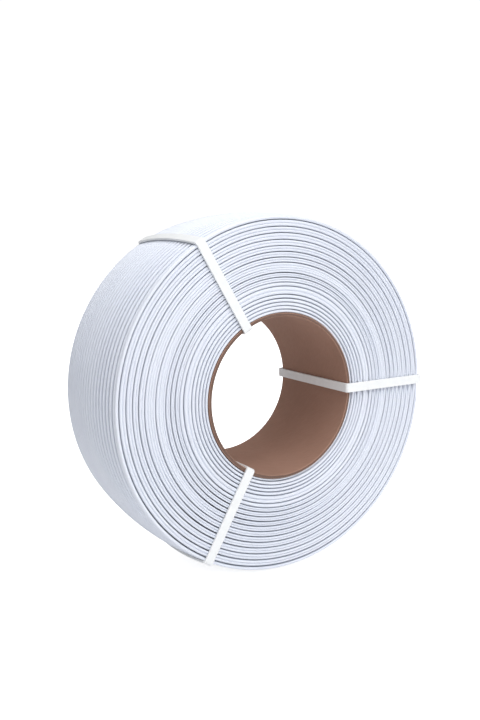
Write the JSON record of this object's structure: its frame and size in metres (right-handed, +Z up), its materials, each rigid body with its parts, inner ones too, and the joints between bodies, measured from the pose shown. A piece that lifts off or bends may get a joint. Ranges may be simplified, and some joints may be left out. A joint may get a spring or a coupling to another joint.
{
  "type": "filament spool refill",
  "caption": "Refill coil of white 3-D printing filament wound on a cardboard core and held together by nylon cable ties, to slide onto a hub or a reusable spool.",
  "frame": {"origin": "centre of the coil, on its axis and halfway between its two faces", "axes": "+Y along the coil's axis from the front face to the rear face, where the tie heads are; +Z up with the coil standing on its rim; +X to the right seen from the front"},
  "size_m": [0.1869, 0.072, 0.1856],
  "materials": {
    "cardboard": "matt brown spiral-wound board",
    "filament": "soft satin cool white",
    "tie_nylon": "smooth natural white nylon"
  },
  "bodies": {
    "coil": {"core_tube": "cardboard", "winding_layer_01": "filament", "winding_layer_02": "filament", "winding_layer_03": "filament", "winding_layer_04": "filament", "winding_layer_05": "filament", "winding_layer_06": "filament", "winding_layer_07": "filament", "winding_layer_08": "filament", "winding_layer_09": "filament", "winding_layer_10": "filament", "winding_layer_11": "filament", "winding_layer_12": "filament", "winding_layer_13": "filament", "winding_layer_14": "filament", "winding_layer_15": "filament", "winding_layer_16": "filament", "winding_layer_17": "filament", "winding_layer_18": "filament", "winding_layer_19": "filament", "winding_layer_20": "filament"},
    "tie_1": {"cable_tie_1": "tie_nylon"},
    "tie_1_pawl": {"cable_tie_1_pawl": "tie_nylon"},
    "tie_2": {"cable_tie_2": "tie_nylon"},
    "tie_2_pawl": {"cable_tie_2_pawl": "tie_nylon"},
    "tie_3": {"cable_tie_3": "tie_nylon"},
    "tie_3_pawl": {"cable_tie_3_pawl": "tie_nylon"}
  },
  "joints": [
    {"name": "tie_1_shift", "type": "hinge", "parent": "coil", "child": "tie_1", "pos_m": [0, 0, 0], "axis": [0, 1, 0], "range_deg": [-50, 50]},
    {"name": "tie_1_pawl_flex", "type": "hinge", "parent": "tie_1", "child": "tie_1_pawl", "pos_m": [0.06699, 0.0345, 0.0014], "axis": [0.0209, 0, -0.9998], "range_deg": [0, 12], "stiffness_Nm_per_rad": 0.0005},
    {"name": "tie_2_shift", "type": "hinge", "parent": "coil", "child": "tie_2", "pos_m": [0, 0, 0], "axis": [0, 1, 0], "range_deg": [-50, 50]},
    {"name": "tie_2_pawl_flex", "type": "hinge", "parent": "tie_2", "child": "tie_2_pawl", "pos_m": [-0.03471, 0.0345, 0.05731], "axis": [0.8554, 0, 0.518], "range_deg": [0, 12], "stiffness_Nm_per_rad": 0.0005},
    {"name": "tie_3_shift", "type": "hinge", "parent": "coil", "child": "tie_3", "pos_m": [0, 0, 0], "axis": [0, 1, 0], "range_deg": [-50, 50]},
    {"name": "tie_3_pawl_flex", "type": "hinge", "parent": "tie_3", "child": "tie_3_pawl", "pos_m": [-0.03228, 0.0345, -0.05871], "axis": [-0.8763, 0, 0.4818], "range_deg": [0, 12], "stiffness_Nm_per_rad": 0.0005}
  ]
}
